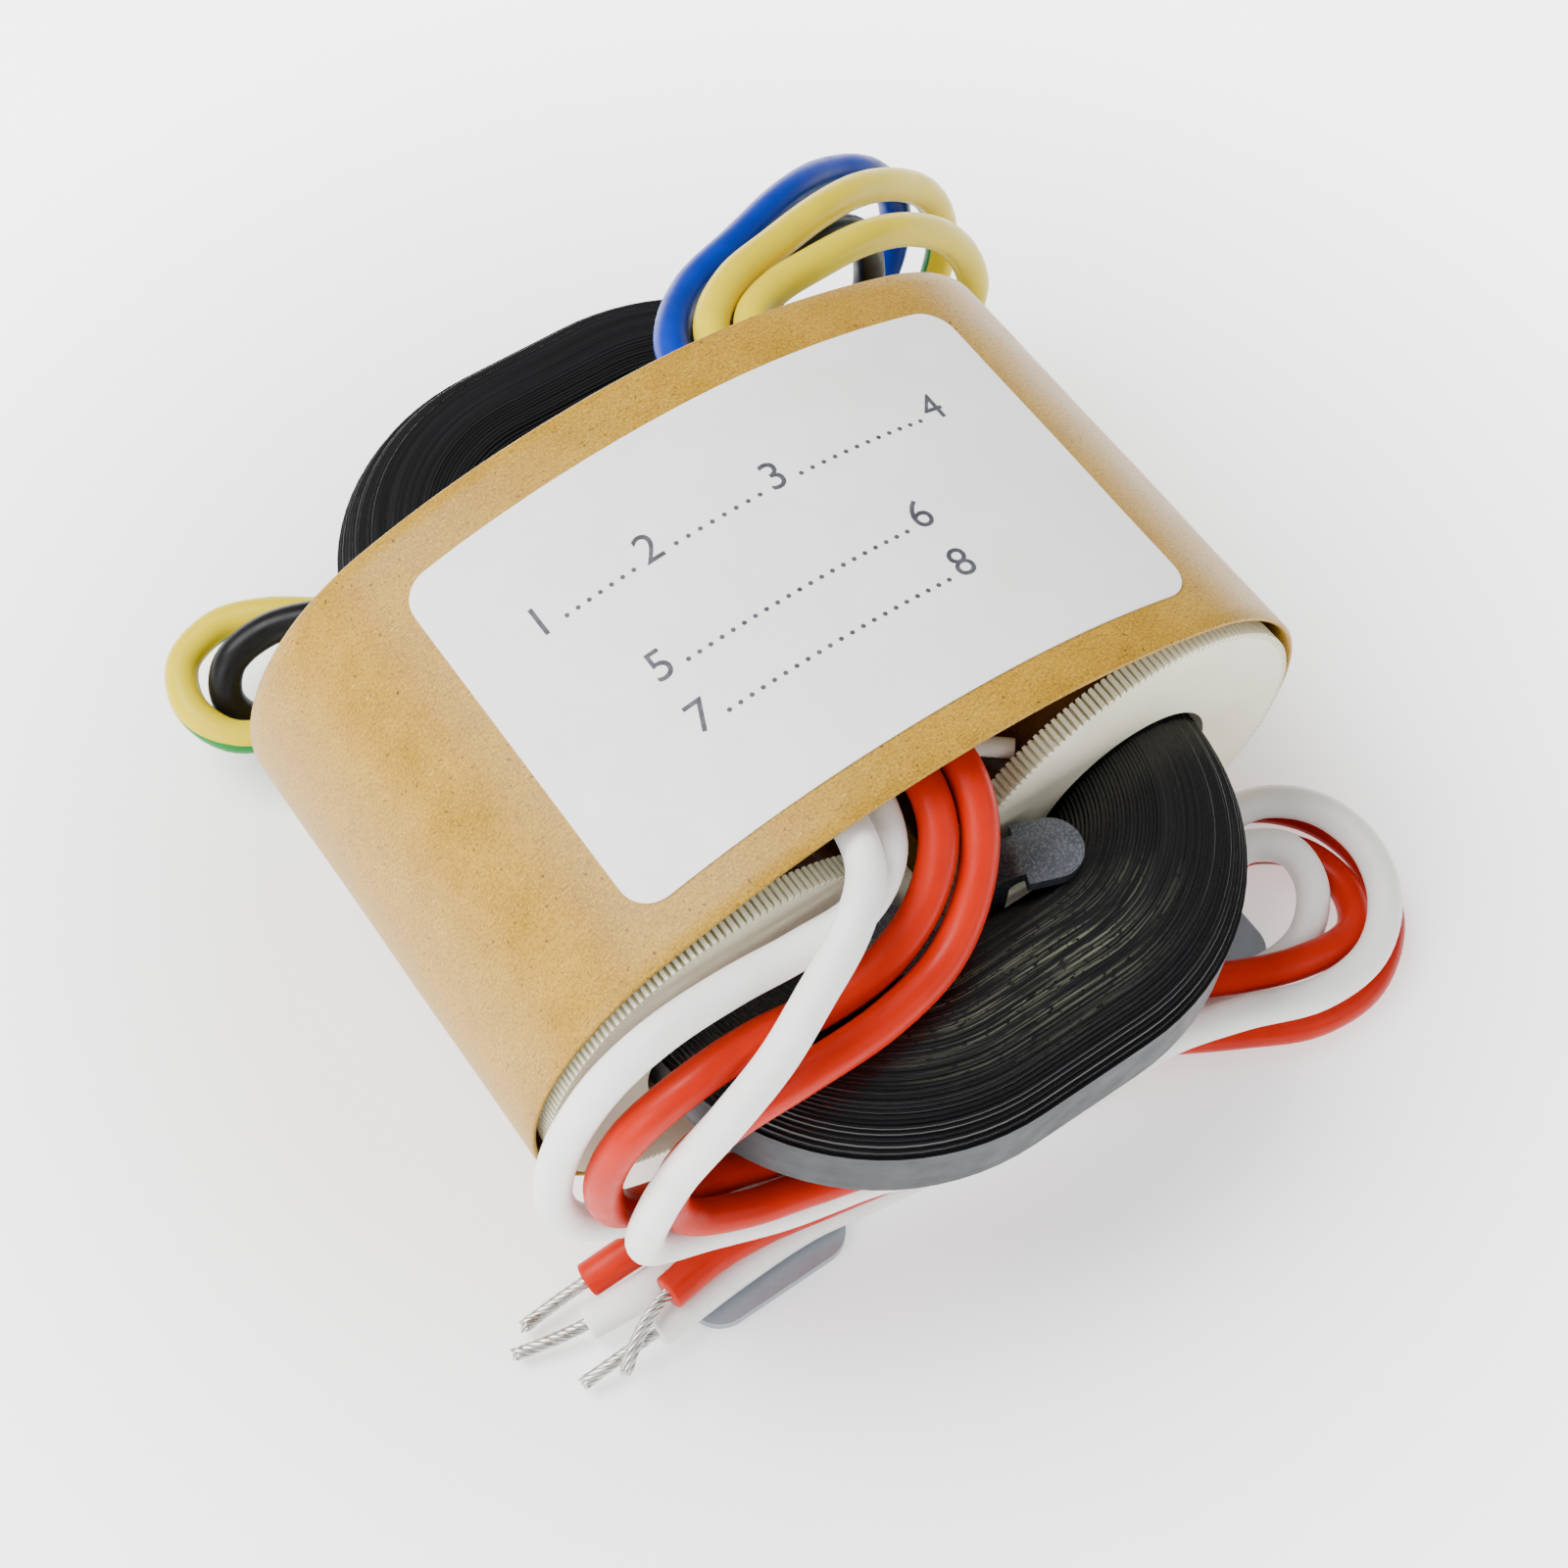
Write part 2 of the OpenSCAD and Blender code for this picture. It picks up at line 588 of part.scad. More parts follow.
tip(white_route_a, white_far_a);  // white_tip_a
tip(white_route_b, white_far_b);  // white_tip_b
tip(orange_route_a, orange_far_a);  // orange_tip_a
tip(orange_route_b, orange_far_b);  // orange_tip_b
tip(blue_route, blue_far);  // blue_tip
tip(yellow_route, yellow_far);  // yellow_tip
tip(black_route, black_far);  // black_tip
tip(yellow_green_route, yellow_green_far);  // yellow_green_tip
joint_sleeve();
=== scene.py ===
import math
import random

import bmesh
import bpy
import numpy as np
from mathutils import Matrix, Vector


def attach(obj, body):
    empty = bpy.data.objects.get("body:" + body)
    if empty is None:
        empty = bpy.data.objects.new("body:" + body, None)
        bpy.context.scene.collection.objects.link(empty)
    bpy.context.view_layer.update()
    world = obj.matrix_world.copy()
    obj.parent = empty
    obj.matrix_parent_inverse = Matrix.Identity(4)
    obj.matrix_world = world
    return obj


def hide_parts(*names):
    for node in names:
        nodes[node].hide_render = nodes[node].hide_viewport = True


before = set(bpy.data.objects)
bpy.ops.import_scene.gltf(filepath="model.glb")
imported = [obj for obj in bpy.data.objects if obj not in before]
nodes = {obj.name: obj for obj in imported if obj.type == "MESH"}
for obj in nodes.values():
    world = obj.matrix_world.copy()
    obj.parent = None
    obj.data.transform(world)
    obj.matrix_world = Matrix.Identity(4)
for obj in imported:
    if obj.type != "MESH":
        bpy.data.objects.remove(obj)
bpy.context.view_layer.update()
MM = 0.001
rng = random.Random(20)

# Sizes shared with the part's source, in millimetres
AXIS_H = 20.3
LEG_X = 16.2
CORE_H, CORE_BUILD, CORE_L = 14.4, 13.3, 72.0
STRIP_END_W, WINDOW_R = 5.4, 5.2
END_R, CROWN_RISE, BELLY_RISE = 16.3, 3.0, 1.0
SLEEVE_L, SLEEVE_T = 36.6, 0.4
LABEL_T = 0.15
LEAD_D = 2.6

# The label's size, corner radius and place on the crown as the photograph shows them, in millimetres
LABEL_W, LABEL_L, LABEL_R = 45.6, 29.0, 2.3
LABEL_AT = (0.8, -0.5)

# Camera at the photograph's angle: degrees, millimetres and pixels
CAM_AZ, CAM_EL, CAM_ROLL = -38.97, 59.92, 4.19
CAM_AT = (-58.9, -75.5, 175.6)
PHOTO_PX, FOCAL_PX, CENTRE_PX = 1600, 2596.6, (813.6, 797.5)
SENSOR_W = 36


def add_camera():
    az, el, roll = (math.radians(v) for v in (CAM_AZ, CAM_EL, CAM_ROLL))
    back = Vector((math.sin(az) * math.cos(el), -math.cos(az) * math.cos(el), math.sin(el)))
    right = Vector((math.cos(az), math.sin(az), 0))
    up = back.cross(right)
    c, s = math.cos(roll), math.sin(roll)
    right, up = c * right + s * up, c * up - s * right
    data = bpy.data.cameras.new("camera")
    data.sensor_fit = "HORIZONTAL"
    data.sensor_width = SENSOR_W
    data.lens = SENSOR_W * FOCAL_PX / PHOTO_PX
    data.shift_x = (PHOTO_PX / 2 - CENTRE_PX[0]) / PHOTO_PX
    data.shift_y = (CENTRE_PX[1] - PHOTO_PX / 2) / PHOTO_PX
    data.clip_start = 0.01
    cam = bpy.data.objects.new("camera", data)
    turn = Matrix((right, up, back)).transposed().to_4x4()
    cam.matrix_world = Matrix.Translation(Vector(CAM_AT) * MM) @ turn
    bpy.context.scene.collection.objects.link(cam)
    bpy.context.scene.camera = cam


add_camera()


# Node helpers
class Paint:
    """A material with one Principled shader, and short calls for its nodes."""

    def __init__(self, name, **sockets):
        self.mat = bpy.data.materials.new(name)
        self.mat.use_nodes = True
        self.tree = self.mat.node_tree
        self.shader = self.tree.nodes["Principled BSDF"]
        for key, value in sockets.items():
            self.shader.inputs[key.replace("_", " ")].default_value = value

    def put(self, kind, ins=None, **props):
        n = self.tree.nodes.new(kind)
        for key, value in props.items():
            setattr(n, key, value)
        for key, value in (ins or {}).items():
            if isinstance(value, bpy.types.NodeSocket):
                self.tree.links.new(value, n.inputs[key])
            else:
                n.inputs[key].default_value = value
        return n

    def coords(self, kind="Object", scale=(1, 1, 1), rotation=(0, 0, 0)):
        c = self.put("ShaderNodeTexCoord")
        return self.put("ShaderNodeMapping", {"Vector": c.outputs[kind], "Scale": scale,
                                              "Rotation": rotation}).outputs[0]

    def noise(self, at, scale, detail=3.0, rough=0.5):
        n = self.put("ShaderNodeTexNoise", {"Vector": at, "Scale": scale, "Detail": detail,
                                            "Roughness": rough})
        return n.outputs["Fac"]

    def ramp(self, fac, *stops):
        n = self.put("ShaderNodeValToRGB", {"Fac": fac})
        e = n.color_ramp.elements
        while len(e) < len(stops):
            e.new(0.5)
        for el, (pos, colour) in zip(e, stops):
            el.position = pos
            el.color = colour if hasattr(colour, "__len__") else (colour, colour, colour, 1)
        return n.outputs["Color"]

    def math(self, op, a, b=0.0):
        return self.put("ShaderNodeMath", {0: a, 1: b}, operation=op).outputs[0]

    def mix(self, fac, a, b):
        n = self.put("ShaderNodeMix", data_type="RGBA")
        for socket, value in ((n.inputs[0], fac), (n.inputs[6], a), (n.inputs[7], b)):
            if isinstance(value, bpy.types.NodeSocket):
                self.tree.links.new(value, socket)
            else:
                socket.default_value = value
        return n.outputs[2]

    def tones(self, fac, low, high, start=0.3, stop=0.7):
        """Colour that goes from one hex tone to another as the factor rises."""
        return self.mix(self.ramp(fac, (start, 0.0), (stop, 1.0)), rgb(low), rgb(high))

    def to(self, socket, value):
        self.tree.links.new(value, self.shader.inputs[socket])

    def rough(self, fac, low, high, start=0.3, stop=0.7):
        self.to("Roughness", self.ramp(fac, (start, low), (stop, high)))

    def bump(self, height, strength, distance, normal=None):
        ins = {"Height": height, "Strength": strength, "Distance": distance}
        if normal is not None:
            ins["Normal"] = normal
        return self.put("ShaderNodeBump", ins).outputs["Normal"]


def rgb(text):
    """Linear colour of an sRGB hex text."""
    def lin(v):
        return v / 12.92 if v <= 0.04045 else ((v + 0.055) / 1.055) ** 2.4
    return tuple(lin(int(text[i:i + 2], 16) / 255) for i in (0, 2, 4)) + (1.0,)


# Materials
def kraft_paint():
    p = Paint("kraft_paper", Specular_IOR_Level=0.25)
    uv = p.coords("UV")
    cloud = p.noise(uv, 26, 4, 0.6)
    grain = p.noise(uv, 520, 4, 0.7)
    base = p.tones(cloud, "a0771a", "b68d2c")
    base = p.mix(p.ramp(grain, (0.32, 0.75), (0.5, 0.0)), base, rgb("745212"))
    base = p.mix(p.ramp(grain, (0.52, 0.0), (0.7, 0.7)), base, rgb("cda840"))
    # Small dark flecks of bark, here and there
    fleck = p.noise(uv, 210, 2, 0.6)
    base = p.mix(p.ramp(fleck, (0.66, 0.0), (0.71, 0.8)), base, rgb("4a2f10"))
    # Loose fibres: short strokes in three directions, two dark and one pale
    fibres = ((0.5, 0.62, "66451a", 0.55), (-0.7, 0.62, "66451a", 0.5), (1.4, 0.66, "e2c684", 0.35))
    for turn, cut, shade, share in fibres:
        stroke = p.noise(p.coords("UV", (1, 4.5, 1), (0, 0, turn)), 150, 2, 0.5)
        base = p.mix(p.ramp(stroke, (cut, 0.0), (cut + 0.06, share)), base, rgb(shade))
    p.to("Base Color", base)
    p.rough(cloud, 0.34, 0.46)
    p.to("Normal", p.bump(grain, 0.15, 0.0001, p.bump(cloud, 0.12, 0.0004)))
    return p.mat


def core_paint():
    p = Paint("varnished_core", Specular_IOR_Level=0.34)
    streak = p.noise(p.coords("UV", (4, 260, 1)), 1.0, 3, 0.6)
    base = p.tones(streak, "050506", "0e0f12", 0.35, 0.75)
    # Painted highlight: olive-grey streaks of painted glint, broken by dark gaps, on the middle of the front
    # limb
    c = p.put("ShaderNodeTexCoord")
    spot = p.put("ShaderNodeMapping", {"Vector": c.outputs["Object"], "Location": (0, -5.2, -1.3),
                                       "Scale": (75, -180, 50)}).outputs[0]
    away = p.put("ShaderNodeVectorMath", {0: spot}, operation="LENGTH").outputs["Value"]
    glint_streaks = p.noise(p.coords("UV", (9, 520, 1)), 1.0, 4, 0.6)
    glint_gaps = p.ramp(p.noise(p.coords("UV", (160, 330, 1)), 1.0, 2, 0.5), (0.36, 0.0), (0.44, 1.0))
    near = p.ramp(away, (0.35, 1.0), (1.0, 0.0))
    painted_glint = p.math("MULTIPLY", near, p.ramp(glint_streaks, (0.5, 0.0), (0.62, 0.85)))
    # Mixes the olive grey of the painted glint into the base colour
    base = p.mix(p.math("MULTIPLY", painted_glint, glint_gaps), base, rgb("5f6152"))
    p.to("Base Color", base)
    p.rough(streak, 0.2, 0.36, stop=0.75)
    p.to("Normal", p.bump(p.noise(p.coords("UV", (60, 400, 1)), 1.0, 3, 0.6), 0.15, 0.0001))
    return p.mat


def band_paint():
    p = Paint("core_outer_turn", Specular_IOR_Level=0.15)
    cloud = p.noise(p.coords("UV", (12, 60, 1)), 1.0, 4, 0.6)
    p.to("Base Color", p.tones(cloud, "262a2d", "3a3e41"))
    p.rough(p.noise(p.coords(), 500, 3), 0.34, 0.5)
    p.to("Normal", p.bump(cloud, 0.08, 0.0002))
    return p.mat


def ivory_paint():
    p = Paint("ivory_plastic", Specular_IOR_Level=0.4)
    at = p.coords()
    cloud = p.noise(at, 140, 4, 0.6)
    p.to("Base Color", p.tones(cloud, "eae7ce", "dddabf", stop=0.72))
    p.rough(p.noise(at, 400, 3), 0.38, 0.55)
    p.to("Normal", p.bump(p.noise(at, 1500, 2), 0.06, 0.0001))
    return p.mat


def zinc_paint():
    p = Paint("zinc_plate", Metallic=0.8)
    at = p.coords()
    cloud = p.noise(at, 420, 4, 0.6)
    grain = p.noise(at, 5200, 2, 0.6)
    # Painted reflection: the tongues, higher up, are painted darker and bluer than the feet, and the feet
    # lighter
    up = p.put("ShaderNodeSeparateXYZ", {"Vector": at}).outputs["Z"]
    base = p.tones(up, "98a1ab", "4a4f5c", 0.004, 0.024)
    base = p.mix(p.ramp(cloud, (0.3, 0.0), (0.7, 0.35)), base, rgb("878d97"))
    p.to("Base Color", p.mix(p.ramp(grain, (0.45, 0.0), (0.72, 0.4)), base, rgb("aab1ba")))
    p.rough(grain, 0.38, 0.5, stop=0.75)
    p.to("Normal", p.bump(grain, 0.1, 0.00005, p.bump(cloud, 0.06, 0.0002)))
    return p.mat


def copper_paint(name, low, high, lines):
    p = Paint(name, Metallic=0.85)
    at = p.coords()
    cloud = p.noise(at, 200, 3)
    p.to("Base Color", p.tones(cloud, low, high))
    p.rough(cloud, 0.25, 0.4)
    wave = p.put("ShaderNodeTexWave", {"Vector": at, "Scale": lines, "Distortion": 0.2},
                 wave_type="BANDS", bands_direction="Y").outputs["Fac"]
    p.to("Normal", p.bump(wave, 0.4, 0.0001))
    return p.mat


def tape_paint(name, low, high):
    p = Paint(name, Coat_Weight=0.4, Coat_Roughness=0.12)
    cloud = p.noise(p.coords(), 120, 3, 0.6)
    crease = p.noise(p.coords("Object", (1, 0.2, 1)), 350, 3, 0.6)
    p.to("Base Color", p.tones(cloud, low, high))
    p.rough(crease, 0.16, 0.36)
    p.to("Normal", p.bump(crease, 0.25, 0.0002))
    return p.mat


def insulation_paint(name, base, shade, rough=0.34, stripe=None):
    p = Paint(name, Specular_IOR_Level=0.15)
    at = p.coords()
    cloud = p.noise(at, 180, 3, 0.6)
    colour = p.tones(cloud, base, shade, stop=0.75)
    if stripe:
        # A third of the way round, centred on half a turn
        c = p.put("ShaderNodeTexCoord")
        across = p.put("ShaderNodeSeparateXYZ", {"Vector": c.outputs["UV"]}).outputs["Y"]
        off = p.math("ABSOLUTE", p.math("SUBTRACT", across, 0.5))
        band = p.ramp(off, (0.165, 1.0), (0.175, 0.0))
        colour = p.mix(band, colour, rgb(stripe))
    p.to("Base Color", colour)
    p.rough(p.noise(at, 700, 3), rough - 0.06, rough + 0.1)
    p.to("Normal", p.bump(p.noise(at, 900, 2), 0.05, 0.0001))
    return p.mat


def tinned_paint():
    p = Paint("tinned_strands", Metallic=1.0)
    cloud = p.noise(p.coords(), 900, 4, 0.6)
    p.to("Base Color", p.tones(cloud, "a9a79f", "d6d5d0"))
    p.rough(cloud, 0.2, 0.42)
    p.to("Normal", p.bump(cloud, 0.2, 0.0001))
    return p.mat


def label_paint():
    p = Paint("label_stock", Specular_IOR_Level=0.35)
    at = p.coords()
    cloud = p.noise(at, 160, 4, 0.6)
    p.to("Base Color", p.tones(cloud, "fbfbfa", "f1f1ee", stop=0.75))
    p.rough(p.noise(at, 900, 2), 0.42, 0.6)
    p.to("Normal", p.bump(p.noise(at, 1800, 2), 0.05, 0.0001))
    return p.mat


def ink_paint():
    p = Paint("label_ink", Roughness=0.6)
    cloud = p.noise(p.coords(), 1400, 2, 0.6)
    p.to("Base Color", p.tones(cloud, "34343c", "565660", 0.35, 0.75))
    return p.mat


PAINT = {
    "kraft": kraft_paint(),
    "core": core_paint(),
    "band": band_paint(),
    "ivory": ivory_paint(),
    "zinc": zinc_paint(),
    "wire": copper_paint("enamelled_wire", "8a3f1c", "b5632f", 1250),
    "foil": copper_paint("copper_foil", "b8672f", "d18a52", 90),
    "layer_tape": tape_paint("layer_film", "a8802c", "c79f48"),
    "tape": tape_paint("brown_film", "3c2416", "6b4326"),
    "sleeving": insulation_paint("joint_sleeving", "efece2", "dcd8ca", 0.5),
    "tinned": tinned_paint(),
    "label": label_paint(),
    "ink": ink_paint(),
    "white": insulation_paint("white_insulation", "f6f6f4", "ecebe8"),
    "orange": insulation_paint("orange_insulation", "bc1e00", "ac1800"),
    "blue": insulation_paint("blue_insulation", "022fa2", "012482"),
    "yellow": insulation_paint("yellow_insulation", "dcc400", "d0b800"),
    "black": insulation_paint("black_insulation", "161617", "0c0c0d"),
    "yellow_green": insulation_paint("yellow_green_insulation", "dcc400", "d0b800", stripe="037a2c"),
}


# Mesh helpers; texture coordinates of paper, core and leads run in tenths of a metre
UV_UNIT = 100


def mesh_object(name, verts, faces, paint, smooth=True, uvs=None):
    """Object from points in millimetres, riding on the part; uvs holds one pair per face corner."""
    mesh = bpy.data.meshes.new(name)
    mesh.from_pydata([tuple(v) for v in np.asarray(verts, float) * MM], [], faces)
    mesh.validate()
    if smooth:
        mesh.polygons.foreach_set("use_smooth", [True] * len(mesh.polygons))
    if uvs is not None:
        layer = mesh.uv_layers.new(name="UVMap")
        layer.data.foreach_set("uv", np.asarray(uvs, np.float32).ravel())
    mesh.materials.append(PAINT[paint])
    obj = bpy.data.objects.new(name, mesh)
    bpy.context.scene.collection.objects.link(obj)
    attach(obj, "root")
    return obj


def mark_sharp(obj, degrees):
    """Edges that turn by more than this stay crisp under smooth shading."""
    bm = bmesh.new()
    bm.from_mesh(obj.data)
    limit = math.radians(degrees)
    for e in bm.edges:
        e.smooth = len(e.link_faces) == 2 and e.calc_face_angle() < limit
    bm.to_mesh(obj.data)
    bm.free()


# Leads: the routes of the part's source, in millimetres, from the coil to the cut end. The ends of white_b
# and orange_a and the left loop of black are shifted by up to 1.4 mm to where the photograph has them.
ROUTES = {
    "white_a": [
        (-7, -6, 32), (-7, -11, 34), (-7.2, -17, 36.2), (-8.5, -20.6, 36.6), (-11.5, -23.2, 36.2),
        (-15.5, -25, 34.5), (-19, -26.2, 32), (-23, -26.8, 29), (-26.5, -26.6, 24.5), (-28.6, -26.4, 19),
        (-28.9, -26, 14.2), (-27.4, -25.6, 10.7), (-23.8, -26, 8.6), (-18.5, -27.6, 8), (-12, -29.1, 8),
        (-8, -30.4, 8), (0, -30.5, 8), (4, -31.8, 8.8), (8, -31.8, 10.2), (12, -30.5, 11), (17.5, -28, 10.9),
        (21, -25.6, 8.9), (24.5, -23.9, 6.7), (28.2, -23, 5.6), (30.9, -25, 5.3), (30.9, -28, 4.2),
        (28.6, -30.4, 2.8), (25, -31, 2.4), (19, -29.6, 2.4), (14, -27, 2.42), (9, -25.4, 2.2), (0, -25.2, 2),
        (-6, -25.2, 2.1), (-12.5, -25.2, 2.4), (-18, -24.9, 2.4), (-24, -25, 2.65), (-29.5, -25.2, 2.5),
        (-33.2, -24.8, 2)],
    "white_b": [
        (-4.2, -6, 30), (-4.2, -11, 32.6), (-4.4, -16, 35), (-5.8, -19.4, 34.6), (-9, -21.3, 33.6),
        (-14, -21.4, 33.4), (-19, -21.2, 33.6), (-24, -21.2, 33.3), (-28, -21.2, 31.2), (-31, -21.2, 27),
        (-32.5, -21.2, 22), (-32.7, -21.2, 17), (-31.3, -21.4, 12), (-28, -22, 8.8), (-23.5, -23.2, 8),
        (-18, -24.9, 8), (-12, -26.2, 8), (-8, -27.5, 8.8), (-4, -27.5, 10.2), (0, -26.2, 11),
        (12, -26.2, 11), (18, -23.8, 9.8), (22.5, -21.5, 7.6), (27, -20.3, 6), (31.5, -20.7, 5.9),
        (34.8, -23.6, 5.9), (35.7, -28, 5.9), (34, -32.4, 5.7), (30.2, -35.2, 5.4), (25, -35.5, 5.2),
        (19, -33.4, 5.1), (13, -31.8, 4.8), (8, -31.5, 3.6), (3, -30.3, 2.1), (-4, -29.4, 2),
        (-12, -28.3, 2.3), (-16.5, -27.65, 2.4), (-22.5, -27.65, 2.4), (-29.6, -28.1, 2.4)],
    "orange_a": [
        (-1.4, -6, 31.6), (-1.4, -11, 33.8), (-1.4, -17, 36), (-2.4, -20.2, 34.8), (-5, -22.6, 32.2),
        (-9, -23.9, 30.2), (-13.5, -24, 29.4), (-19, -23.6, 29.8), (-24, -23.7, 29.6), (-28, -23.6, 27.4),
        (-30, -23.4, 23), (-30.1, -23.3, 18), (-28.6, -23.1, 14), (-25.5, -23.1, 11.6), (-20, -24.2, 11),
        (-12, -26.2, 11), (-8, -24.9, 10.2), (-4, -24.9, 8.8), (0, -26.2, 8), (12, -26.2, 8),
        (18, -23.8, 6.8), (22.5, -21, 4.6), (27, -19, 3.1), (31.8, -19.4, 2.9), (35.6, -23, 2.7),
        (36.8, -28, 2.4), (35, -33, 1.8), (30.5, -36.1, 1.5), (25, -36.2, 1.7), (19, -33.6, 2.1),
        (13, -30.4, 2.35), (8, -28.4, 3.1), (3, -28.7, 4.9), (-2, -29.4, 5), (-8, -29, 5.1),
        (-14, -27.95, 5.2), (-20, -26.8, 5.1), (-24, -26.6, 5.1), (-27.9, -27.1, 5.1)],
    "orange_b": [
        (1.4, -6, 31.6), (1.4, -11, 33.8), (1.4, -17, 36), (0.6, -20.4, 34.9), (-1.6, -23.4, 32.2),
        (-5.5, -25.8, 30), (-11, -26.9, 29.2), (-17, -26.8, 28.4), (-22, -25.8, 25.4), (-25.4, -25.1, 20.6),
        (-26.3, -25.2, 16), (-25, -25.8, 12.9), (-21.3, -26.9, 11.2), (-17, -28, 11), (-12, -29.3, 11),
        (-8, -30.3, 11), (0, -30.5, 11), (4, -29.2, 10.2), (8, -29.2, 8.8), (12, -30.4, 8), (17.5, -27.8, 8),
        (21, -25.3, 5.6), (25, -22.9, 2.9), (29.5, -22.2, 2.5), (33, -24.9, 2.4), (33.7, -29.2, 2.6),
        (31.2, -32.5, 3.6), (25.5, -32.6, 4.9), (19, -30.1, 5.08), (14, -27.1, 5.08), (9, -25.4, 4.9),
        (0, -25.2, 4.8), (-6, -25.2, 4.9), (-12, -25.3, 5.1), (-18, -24.4, 5), (-24, -23.3, 4.8),
        (-28, -22.6, 3.5), (-31.6, -22.3, 2.4)],
    "blue": [
        (3.6, 6, 32.6), (3.6, 11, 34.6), (4, 16.5, 36.4), (4.9, 20.8, 36.2), (9.2, 25.4, 34.8),
        (16, 28.6, 33.2), (22.8, 31.8, 31.2), (28, 33.8, 28.6), (32.5, 34.4, 25.6), (35.2, 34.4, 21.6),
        (35.7, 34, 17.4), (34.4, 33.4, 13.6), (31.2, 32.6, 11.6), (26, 31.8, 11), (12, 31, 11),
        (-4.2, 31, 11), (-7.3, 31, 9.7), (-8.6, 31, 6.6), (-7.3, 31, 3.5), (-4.2, 31, 2.2), (12, 31, 2.4),
        (28, 30.6, 2.4)],
    "yellow": [
        (9.4, 6, 33.6), (9.4, 11, 35.2), (9.4, 16.5, 36.9), (10.8, 19.5, 36.8), (14, 21.4, 36),
        (18.5, 22.6, 34.8), (24, 23.8, 33), (28.6, 24.6, 30.4), (33, 25.2, 26.4), (36.2, 25.6, 21.4),
        (37.6, 25.8, 16.6), (36.4, 25.8, 13), (33, 25.6, 11.2), (28, 25.3, 11), (12, 25.2, 11),
        (-4.2, 25.2, 11), (-7.3, 25.2, 9.7), (-8.6, 25.2, 6.6), (-7.3, 25.2, 3.5), (-4.2, 25.2, 2.2),
        (12, 25.2, 2.5), (29.5, 24.6, 2.8), (33.5, 24.4, 2)],
    "black": [
        (4.8, 6, 29.8), (4.8, 11, 31.8), (4.7, 16.5, 33.6), (5.4, 20.6, 33.3), (9, 23.8, 31.8),
        (14, 25.8, 30.6), (19, 27.6, 29.8), (24, 29, 28.4), (28, 30.2, 25.4), (30.2, 30.8, 21.2),
        (30.5, 30.6, 16.8), (28.6, 29.8, 13.2), (25, 28.8, 11.4), (19, 28.2, 11), (0, 28.1, 11),
        (-8, 28.1, 11), (-14, 29, 11), (-19.5, 30.8, 11), (-24.6, 32.8, 10.4), (-28.3, 32.6, 9.2),
        (-29.6, 31.4, 6.6), (-28.2, 30, 3.9), (-24.3, 29, 2.6), (-18, 28.6, 2.4), (-12, 28.1, 2.4),
        (0, 28.1, 2), (12, 28.1, 2.4), (29.5, 27.6, 2.4)],
    "yellow_green": [
        (6.7, 6, 32.4), (6.7, 11, 34.6), (6.7, 16.5, 36.6), (8, 20.5, 36.8), (11.7, 23.4, 36.4),
        (17, 25.4, 35.2), (22.5, 27.4, 33.6), (27.5, 29.2, 31.2), (32.5, 30.6, 27.6), (36.4, 31.4, 23.4),
        (38.5, 31.6, 18.6), (38.4, 31.2, 14.2), (36.2, 30.4, 10.6), (32.4, 29.4, 8.6), (27, 28.5, 8),
        (12, 28.1, 8), (0, 28.1, 8), (-9, 28.2, 8), (-15, 30.4, 8), (-19.7, 33.2, 8), (-23.6, 35.8, 8),
        (-27.3, 37, 7.8), (-31, 35.7, 7.4), (-32.4, 32.1, 7), (-31, 28.5, 6.4), (-27.3, 27, 5.8),
        (-22, 27, 5.4), (-15, 27.8, 5.2), (-8, 28.1, 5.1), (12, 28.1, 5.1), (20, 26.9, 5.2), (26, 26.3, 5.1)],
}
# Far end of the strands and exit at the sleeve's rim, in millimetres, and the insulation's length in metres
ENDS = {
    "white_a": ((-38.6, -23.5, 1.2), (-7.8, -18.3, 36.4), 0.189),
    "white_b": ((-36, -28, 1.2), (-5.5, -18.3, 34.7), 0.208),
    "orange_a": ((-33.6, -30.2, 4.2), (-1.9, -18.3, 35.4), 0.207),
    "orange_b": ((-37.2, -22.3, 1.4), (1.1, -18.3, 35.5), 0.196),
    "blue": ((33.6, 30.2, 1.4), (4.4, 18.3, 36.4), 0.148),
    "yellow": ((39, 24, 1.2), (10.4, 18.3, 36.8), 0.148),
    "black": ((35, 27.6, 1.2), (5.1, 18.3, 33.4), 0.177),
    "yellow_green": ((31.4, 25.8, 4.2), (7.3, 18.3, 36.7), 0.200),
}
# Points per span of a route and sides of its tube
SPAN_STEPS, LEAD_SIDES = 7, 20
# The knife leaves the cut end a little rounded: setbacks in millimetres and shares of the radius there
CUT_ROUND = ((0.16, 1.0), (0.05, 0.97), (0.0, 0.88))
# The green stripe looks away from view over the top, and outwards and down on the loop at the left
OVER_TOP, ON_LOOP = (0.3, 0.4, -0.86), (-0.9, -0.16, -0.4)
STRIPE_LOOKS = (((8, 20.5, 36.8), OVER_TOP), ((27.5, 29.2, 31.2), OVER_TOP),
                ((-27.3, 37, 7.8), ON_LOOP), ((-31, 28.5, 6.4), ON_LOOP))
# Tinned strands: points along each, sides, and turns of the twist
STRAND_STEPS, STRAND_SIDES, STRAND_TURNS = 26, 8, 1.5
# Radius of a strand and of its end, circle that six lie on, spread at the end, and start inside the insulation
STRAND_R, STRAND_END_R, STRAND_RING, STRAND_SPREAD, STRAND_HOLD = 0.175, 0.1, 0.31, 0.06, 0.3


